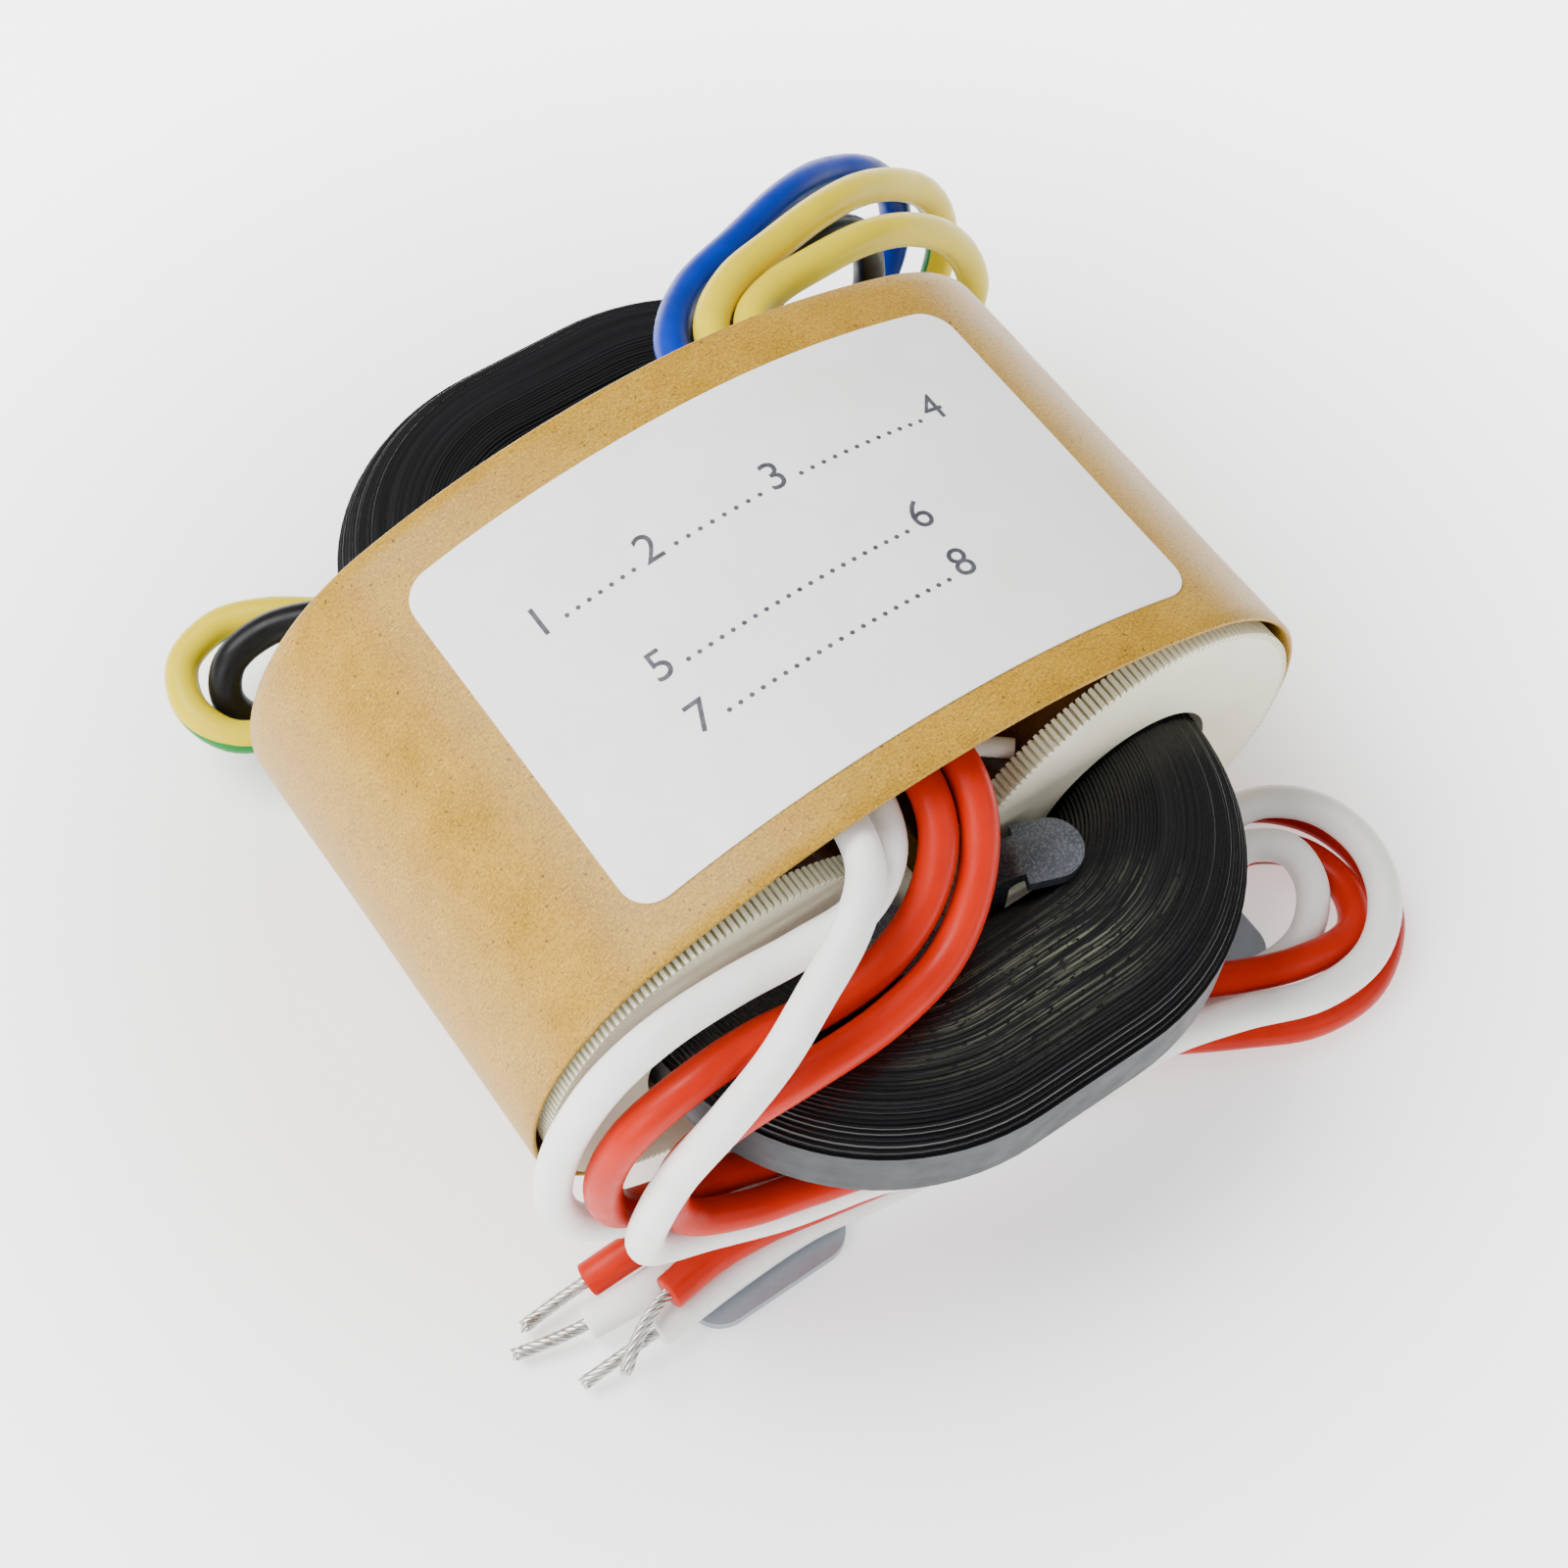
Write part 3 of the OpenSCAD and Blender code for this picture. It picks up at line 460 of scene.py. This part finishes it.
def smooth_route(points):
    """Centripetal Catmull-Rom curve through the points."""
    p = np.array(points, float)
    p = np.vstack([2 * p[0] - p[1], p, 2 * p[-1] - p[-2]])
    out = []
    for i in range(1, len(p) - 2):
        t = [0.0]
        for a in (i - 1, i, i + 1):
            t.append(t[-1] + np.linalg.norm(p[a + 1] - p[a]) ** 0.5)
        for u in np.linspace(t[1], t[2], SPAN_STEPS, endpoint=False):
            a1 = ((t[1] - u) * p[i - 1] + (u - t[0]) * p[i]) / (t[1] - t[0])
            a2 = ((t[2] - u) * p[i] + (u - t[1]) * p[i + 1]) / (t[2] - t[1])
            a3 = ((t[3] - u) * p[i + 1] + (u - t[2]) * p[i + 2]) / (t[3] - t[2])
            b1 = ((t[2] - u) * a1 + (u - t[0]) * a2) / (t[2] - t[0])
            b2 = ((t[3] - u) * a2 + (u - t[1]) * a3) / (t[3] - t[1])
            out.append(((t[2] - u) * b1 + (u - t[1]) * b2) / (t[2] - t[1]))
    out.append(p[-2])
    return np.array(out)


def carried_frames(path):
    """Tangent, normal and binormal at each point, with no twist."""
    t = np.gradient(path, axis=0)
    t /= np.linalg.norm(t, axis=1)[:, None]
    n = np.zeros_like(t)
    first = np.cross(t[0], (0, 0, 1.0))
    n[0] = first / np.linalg.norm(first)
    for i in range(1, len(t)):
        v = n[i - 1] - np.dot(n[i - 1], t[i]) * t[i]
        n[i] = v / np.linalg.norm(v)
    return t, n, np.cross(t, n)


def run_along(path):
    """Distance from the first point to each point of a path."""
    return np.concatenate([[0], np.cumsum(np.linalg.norm(np.diff(path, axis=0), axis=1))])


def tube_mesh(path, radii, sides, turn=0.0):
    """Points, faces and corner UVs of a closed tube: u runs along it, v once around."""
    _, n, b = carried_frames(path)
    ang = np.arange(sides)[None] * 2 * math.pi / sides + np.broadcast_to(turn, len(path))[:, None]
    rings = (path[:, None] + np.asarray(radii)[:, None, None]
             * (np.cos(ang)[..., None] * n[:, None] + np.sin(ang)[..., None] * b[:, None]))
    verts = rings.reshape(-1, 3)
    run = run_along(path) / UV_UNIT
    faces, uvs = [], []
    for i in range(len(path) - 1):
        for k in range(sides):
            j = (k + 1) % sides
            faces.append((i * sides + k, i * sides + j, (i + 1) * sides + j, (i + 1) * sides + k))
            v0, v1 = k / sides, (k + 1) / sides
            uvs += [(run[i], v0), (run[i], v1), (run[i + 1], v1), (run[i + 1], v0)]
    last = (len(path) - 1) * sides
    faces.append(tuple(range(sides - 1, -1, -1)))
    uvs += [(0, k / sides) for k in range(sides - 1, -1, -1)]
    faces.append(tuple(last + k for k in range(sides)))
    uvs += [(run[-1], k / sides) for k in range(sides)]
    return verts, faces, uvs


def stripe_turn(path):
    """Turn of the green stripe along its lead, so that it looks where it should at the given places."""
    _, n, b = carried_frames(path)
    run = run_along(path)
    spots, turns = [], []
    for place, look in STRIPE_LOOKS:
        at = int(np.argmin(np.linalg.norm(path - np.array(place), axis=1)))
        spots.append(run[at])
        turns.append(math.atan2(np.dot(look, b[at]), np.dot(look, n[at])) - math.pi)
    return np.interp(run, spots, np.unwrap(turns))


def lead_piece(key, colour):
    path = smooth_route(ROUTES[key])
    end = path[-1] - path[-2]
    end /= np.linalg.norm(end)
    body = np.vstack([path[:-1]] + [path[-1] - back * end for back, _ in CUT_ROUND])
    radii = np.full(len(body), LEAD_D / 2)
    radii[-len(CUT_ROUND):] *= [share for _, share in CUT_ROUND]
    turn = stripe_turn(body) if key == "yellow_green" else 0.0
    verts, faces, uvs = tube_mesh(body, radii, LEAD_SIDES, turn)
    obj = mesh_object("lead_" + key, verts, faces, colour, uvs=uvs)
    mark_sharp(obj, 50)
    return obj, path


def strand_piece(key, start, heading, far):
    """Seven tinned strands, six twisted round one and a little spread at the end."""
    start, far = np.array(start, float), np.array(far, float)
    bend = start + heading * 0.42 * np.linalg.norm(far - start)
    steps = np.linspace(0, 1, STRAND_STEPS)
    s = steps[:, None]
    spine = (1 - s) ** 2 * (start - heading * STRAND_HOLD) + 2 * s * (1 - s) * bend + s ** 2 * far
    _, n, b = carried_frames(spine)
    verts, faces, uvs = [], [], []
    wind = rng.uniform(0, 6.28)
    for k in range(7):
        count = int(round(STRAND_STEPS * rng.uniform(0.93, 1.0)))
        along = steps[:count]
        if k == 6:
            line = spine[:count].copy()
        else:
            a = wind + k * math.pi / 3 + along * STRAND_TURNS * 2 * math.pi
            last_quarter = np.clip((along - 0.75) / 0.25, 0, 1)
            reach = STRAND_RING + STRAND_SPREAD * last_quarter * rng.uniform(0.2, 1.6)
            aside = np.cos(a)[:, None] * n[:count] + np.sin(a)[:, None] * b[:count]
            line = spine[:count] + reach[:, None] * aside
        radii = np.full(count, STRAND_R)
        radii[-1] = STRAND_END_R
        v, f, u = tube_mesh(line, radii, STRAND_SIDES)
        base = sum(len(x) for x in verts)
        verts.append(v)
        faces += [tuple(i + base for i in q) for q in f]
        uvs += u
    return mesh_object("tip_" + key, np.vstack(verts), faces, "tinned", uvs=uvs)


for key, (far, leave, length) in ENDS.items():
    colour = key.removesuffix("_a").removesuffix("_b")
    letter = key.removeprefix(colour)
    lead, path = lead_piece(key, colour)
    heading = path[-1] - path[-2]
    tip = strand_piece(key, path[-1], heading / np.linalg.norm(heading), far)
    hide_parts(colour + "_lead" + letter)
    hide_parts(colour + "_tip" + letter)


# Core: many thin turns of strip, each a little higher or lower than the next
CORE_TURNS, CORNER_STEPS = 52, 20
# Least and most by which a turn lies low, and half the width and the depth of the groove beside it
TURN_DROP, GROOVE_HALF, GROOVE_DEPTH = (0.0, 0.06), (0.008, 0.028), (0.01, 0.08)


def wound_core():
    turns = CORE_TURNS
    mid = WINDOW_R + CORE_BUILD / 2
    half_axis = CORE_BUILD / 2 / math.sqrt(1 - (STRIP_END_W / CORE_H) ** 2)
    draw = random.Random(7)

    def height(r):
        return CORE_H / 2 * math.sqrt(max(0.0, 1 - ((r - mid) / half_axis) ** 2))

    edge = [WINDOW_R + CORE_BUILD * i / turns for i in range(turns + 1)]

    def side():
        pts = []
        for i in range(turns):
            top = min(height(edge[i]), height(edge[i + 1])) - draw.uniform(*TURN_DROP)
            groove = draw.uniform(*GROOVE_HALF)
            pts.append((edge[i] + (groove if i else 0), top))
            pts.append((edge[i + 1] - (groove if i < turns - 1 else 0), top))
            if i < turns - 1:
                pts.append((edge[i + 1], min(top, height(edge[i + 1])) - draw.uniform(*GROOVE_DEPTH)))
        return pts

    upper, lower = side(), side()
    section = upper + [(r, -z) for r, z in reversed(lower)]
    cx, cy = LEG_X - mid, CORE_L / 2 - CORE_BUILD - WINDOW_R
    path = []
    for sx, sy, a0 in ((1, 1, 0), (-1, 1, 90), (-1, -1, 180), (1, -1, 270)):
        for k in range(CORNER_STEPS + 1):
            a = math.radians(a0 + 90 * k / CORNER_STEPS)
            path.append((sx * cx, sy * cy, math.cos(a), math.sin(a)))
    verts, faces, uvs = [], [], []
    count = len(section)
    for px, py, dx, dy in path:
        verts += [(px + r * dx, py + r * dy, AXIS_H + z) for r, z in section]
    centre = [(px + mid * dx, py + mid * dy) for px, py, dx, dy in path]
    run, across = [0.0], [0.0]
    for i in range(len(path)):
        run.append(run[-1] + math.dist(centre[i], centre[(i + 1) % len(path)]) / UV_UNIT)
    for k in range(count):
        across.append(across[-1] + math.dist(section[k], section[(k + 1) % count]) / UV_UNIT)
    for i in range(len(path)):
        j = (i + 1) % len(path)
        for k in range(count):
            m = (k + 1) % count
            faces.append((i * count + k, j * count + k, j * count + m, i * count + m))
            uvs += [(run[i], across[k]), (run[i + 1], across[k]),
                    (run[i + 1], across[k + 1]), (run[i], across[k + 1])]
    obj = mesh_object("wound_core", verts, faces, "core", uvs=uvs)
    mark_sharp(obj, 30)
    # The outside of the last turn is smooth strip
    obj.data.materials.append(PAINT["band"])
    outside = len(upper) - 1
    for i in range(len(path)):
        obj.data.polygons[i * count + outside].material_index = 1
    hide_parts("core")


wound_core()


# Sleeve and label
def arc_over_ends(rise):
    """Radius of the arc that rises so far over the round ends, and how far its centre lies past the axis."""
    radius = (LEG_X ** 2 + (END_R + rise) ** 2 - END_R ** 2) / (2 * rise)
    return radius, radius - END_R - rise


CROWN_R, CROWN_DROP = arc_over_ends(CROWN_RISE)
BELLY_R, BELLY_DROP = arc_over_ends(BELLY_RISE)


def oval_points(count):
    """Evenly spaced points round the sleeve's outside, each with its normal and its run from the top."""
    crown = math.atan2(LEG_X, CROWN_DROP)
    belly = math.atan2(LEG_X, BELLY_DROP)
    end = math.pi - crown - belly
    parts = [
        ((0, -CROWN_DROP), CROWN_R, math.pi / 2, crown),
        ((LEG_X, 0), END_R, math.pi / 2 - crown, end),
        ((0, BELLY_DROP), BELLY_R, belly - math.pi / 2, 2 * belly),
        ((-LEG_X, 0), END_R, -math.pi / 2 - belly, end),
        ((0, -CROWN_DROP), CROWN_R, math.pi / 2 + crown, crown),
    ]
    total = sum(r * turn for _, r, _, turn in parts)
    out = []
    for i in range(count):
        run = s = total * i / count
        for centre, r, start, turn in parts:
            if s <= r * turn + 1e-9:
                a = start - s / r
                nx, nz = math.cos(a), math.sin(a)
                out.append((centre[0] + r * nx, centre[1] + r * nz, nx, nz, run))
                break
            s -= r * turn
    return out, total


def sleeve_lift(run, y, total):
    """How far the paper stands off its oval, in millimetres: gentle waves, a little inwards on the whole."""
    a = 2 * math.pi * run / total
    wave = 0.05 * math.sin(3 * a + 0.7) + 0.035 * math.sin(7 * a - 1.1 + 0.05 * y)
    wave += 0.03 * math.sin(2 * a + 0.16 * y) * math.cos(0.21 * y)
    return wave - 0.05


# Points round the sleeve and rows along it; its cut rims are rounded over this run and by this dip
SLEEVE_COUNT, SLEEVE_ROWS = 240, 30
RIM_RUN, RIM_DIP = 0.12, 0.1


def paper_sleeve():
    count, rows = SLEEVE_COUNT, SLEEVE_ROWS
    ring, total = oval_points(count)
    half = SLEEVE_L / 2
    levels = [(-half, -RIM_DIP), (-half + RIM_RUN, 0.0)]
    levels += [(-half + RIM_RUN + (SLEEVE_L - 2 * RIM_RUN) * k / rows, 0.0) for k in range(1, rows)]
    levels += [(half - RIM_RUN, 0.0), (half, -RIM_DIP)]
    verts = []
    for y, dip in levels:
        for x, z, nx, nz, run in ring:
            d = sleeve_lift(run, y, total) + dip
            verts.append((x + d * nx, y, AXIS_H + z + d * nz))
    for y, dip in reversed(levels):
        for x, z, nx, nz, run in ring:
            d = sleeve_lift(run, y, total) - SLEEVE_T - dip
            verts.append((x + d * nx, y, AXIS_H + z + d * nz))
    along = [y / UV_UNIT for y, _ in levels + levels[::-1]]
    all_rows = len(along)
    faces, uvs = [], []
    for i in range(all_rows):
        j = (i + 1) % all_rows
        for k in range(count):
            m = (k + 1) % count
            faces.append((i * count + k, i * count + m, j * count + m, j * count + k))
            u0 = ring[k][4] / UV_UNIT
            u1 = (ring[m][4] if m else total) / UV_UNIT
            uvs += [(u0, along[i]), (u1, along[i]), (u1, along[j]), (u0, along[j])]
    obj = mesh_object("kraft_sleeve", verts, faces, "kraft", uvs=uvs)
    mark_sharp(obj, 60)
    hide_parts("paper_sleeve")
    return total


OVAL_RUN = paper_sleeve()


def on_crown(x, y, lift):
    """Point on the paper at a distance x along the crown from its middle, lifted off the paper."""
    a = x / CROWN_R
    d = sleeve_lift(x % OVAL_RUN, y, OVAL_RUN) + lift
    return ((CROWN_R + d) * math.sin(a), y, AXIS_H - CROWN_DROP + (CROWN_R + d) * math.cos(a))


# Columns and rows of the label's mesh, and how far its back and the back of its ink sink in
LABEL_COLS, LABEL_ROWS, SINK = 96, 60, 0.02


def sticker():
    cols, rows = LABEL_COLS, LABEL_ROWS
    grid = {}
    verts, faces = [], []

    def inset(x, y):
        """Pulls a point of the full rectangle in to the round corners."""
        hx, hy = LABEL_W / 2 - LABEL_R, LABEL_L / 2 - LABEL_R
        if abs(x) > hx and abs(y) > hy:
            dx, dy = abs(x) - hx, abs(y) - hy
            reach = max(dx, dy)
            norm = math.hypot(dx, dy)
            dx, dy = dx * reach / norm, dy * reach / norm
            return math.copysign(hx + dx, x), math.copysign(hy + dy, y)
        return x, y

    for layer, lift in enumerate((LABEL_T, -SINK)):
        for i in range(cols + 1):
            for j in range(rows + 1):
                x, y = inset(LABEL_W * (i / cols - 0.5), LABEL_L * (j / rows - 0.5))
                grid[layer, i, j] = len(verts)
                verts.append(on_crown(x + LABEL_AT[0], y + LABEL_AT[1], lift))
    for i in range(cols):
        for j in range(rows):
            q = [(i, j), (i + 1, j), (i + 1, j + 1), (i, j + 1)]
            faces.append(tuple(grid[0, a, b] for a, b in q))
            faces.append(tuple(grid[1, a, b] for a, b in reversed(q)))
    border = [(i, 0) for i in range(cols)] + [(cols, j) for j in range(rows)]
    border += [(i, rows) for i in range(cols, 0, -1)] + [(0, j) for j in range(rows, 0, -1)]
    for k, a in enumerate(border):
        b = border[(k + 1) % len(border)]
        faces.append((grid[(0,) + a], grid[(1,) + a], grid[(1,) + b], grid[(0,) + b]))
    obj = mesh_object("sticker", verts, faces, "label")
    mark_sharp(obj, 40)
    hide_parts("label")


sticker()


# Print on the label: lead numbers joined by dotted rows, in millimetres from the middle of the crown
INK_T = 0.03
DIGIT_H, DIGIT_W, DIGIT_GAP = 2.3, 1.84, 0.7
CAP_SHARE = 0.69  # height of a digit as a share of the font's size
DOT_R, DOT_SIDES, DOT_STEP, DOT_LIFT, DOT_STOP = 0.17, 10, 0.85, 0.3, 0.8
PRINT_ROWS = (
    (4.6, ((-16.6, "1"), (-8.0, "2"), (2.0, "3"), (15.5, "4"))),
    (-3.0, ((-12.2, "5"), (8.5, "6"))),
    (-7.6, ((-12.2, "7"), (8.5, "8"))),
)


def digit_mesh(text):
    """Points and faces of a number on XY: its lower left corner at the origin, its back below Z = 0."""
    curve = bpy.data.curves.new("digits", "FONT")
    curve.body = text
    curve.size = DIGIT_H / CAP_SHARE
    curve.extrude = 0.5
    curve.resolution_u = 4
    obj = bpy.data.objects.new("digits", curve)
    bpy.context.scene.collection.objects.link(obj)
    bpy.context.view_layer.update()
    mesh = obj.evaluated_get(bpy.context.evaluated_depsgraph_get()).to_mesh()
    verts = [tuple(v.co) for v in mesh.vertices]
    faces = [tuple(q.vertices) for q in mesh.polygons]
    bpy.data.objects.remove(obj)
    bpy.data.curves.remove(curve)
    return verts, faces


def label_print():
    verts, faces = [], []

    def add(points, quads, x0, y0):
        base = len(verts)
        for x, y, z in points:
            verts.append(on_crown(x0 + x, y0 + y, LABEL_T + (INK_T if z > 0 else -SINK)))
        faces.extend(tuple(i + base for i in q) for q in quads)

    def dot(x0, y0):
        sides = DOT_SIDES
        angles = [2 * math.pi * k / sides for k in range(sides)]
        ring = [(DOT_R * math.cos(a), DOT_R * math.sin(a)) for a in angles]
        points = [(x, y, -1) for x, y in ring] + [(x, y, 1) for x, y in ring]
        quads = [(k, (k + 1) % sides, sides + (k + 1) % sides, sides + k) for k in range(sides)]
        quads += [tuple(range(sides - 1, -1, -1)), tuple(range(sides, 2 * sides))]
        add(points, quads, x0, y0)

    def row(y, marks):
        """Numbers at their places, joined by dots."""
        for k, (x, text) in enumerate(marks):
            add(*digit_mesh(text), x, y)
            if k + 1 < len(marks):
                x1 = x + DIGIT_W + DIGIT_GAP
                gap = marks[k + 1][0] - DOT_STOP - x1
                steps = int(gap / DOT_STEP)
                for s in range(steps + 1):
                    dot(x1 + gap * s / steps, y + DOT_LIFT)

    for y, marks in PRINT_ROWS:
        row(y, marks)
    mesh_object("label_print", verts, faces, "ink", smooth=False)


label_print()

# CAD nodes that stay in view
SHOWN = {
    "ivory": [n for n in nodes if "bobbin" in n],
    "zinc": [n for n in nodes if n.startswith("clip")],
    "wire": [n for n in nodes if n.endswith(("primary", "secondary"))],
    "foil": [n for n in nodes if n.endswith("screen")],
    "layer_tape": [n for n in nodes if n.endswith("layer_tape")],
    "tape": [n for n in nodes if n.endswith("outer_tape")],
    "sleeving": ["joint_sleeve"],
}
for paint, names in SHOWN.items():
    for name in names:
        mesh = nodes[name].data
        mesh.materials.clear()
        mesh.materials.append(PAINT[paint])


# Floor, sky and lamps, in metres and watts
FLOOR_SIZE, SKY_STRENGTH = 4.0, 0.45
# The floor glows like a light table, less so under the part, where the dimmer glow is a painted shade round
# it, and far away: distance and strength
FLOOR_GLOW = ((0.04, 0.6), (0.1, 3.2), (0.6, 3.2), (1.0, 0.5))
# Name, place, width and power of each lamp; all of them aim at the same point
LAMP_AIM = (0, 0, 0.02)
LAMPS = (
    ("key", (-0.22, 0.22, 0.55), 0.35, 6.6),
    ("left_fill", (-0.55, -0.15, 0.35), 0.4, 3.4),
    ("front_fill", (0.35, -0.55, 0.4), 0.45, 1.2),
)


def studio():
    bpy.ops.mesh.primitive_plane_add(size=FLOOR_SIZE, location=(0, 0, 0))
    floor = bpy.context.object
    floor.name = "floor"
    p = Paint("pale_floor", Roughness=0.7, Specular_IOR_Level=0.2)
    tone = p.noise(p.coords(), 3, 2)
    p.to("Base Color", p.mix(tone, rgb("f4f4f3"), rgb("f7f7f6")))
    c = p.put("ShaderNodeTexCoord")
    away = p.put("ShaderNodeVectorMath", {0: c.outputs["Object"]}, operation="LENGTH").outputs["Value"]
    p.shader.inputs["Emission Color"].default_value = (1, 1, 1, 1)
    # The glow falls off under the part: painted shade round it
    p.to("Emission Strength", p.ramp(away, *FLOOR_GLOW))
    floor.data.materials.append(p.mat)
    world = bpy.data.worlds.new("studio")
    bpy.context.scene.world = world
    world.use_nodes = True
    sky = world.node_tree.nodes["Background"]
    sky.inputs["Color"].default_value = (1, 1, 1, 1)
    sky.inputs["Strength"].default_value = SKY_STRENGTH
    for name, place, width, power in LAMPS:
        data = bpy.data.lights.new(name, "AREA")
        data.size = width
        data.energy = power
        lamp = bpy.data.objects.new(name, data)
        lamp.location = place
        lamp.rotation_euler = (Vector(LAMP_AIM) - Vector(place)).to_track_quat("-Z", "Y").to_euler()
        bpy.context.scene.collection.objects.link(lamp)


studio()
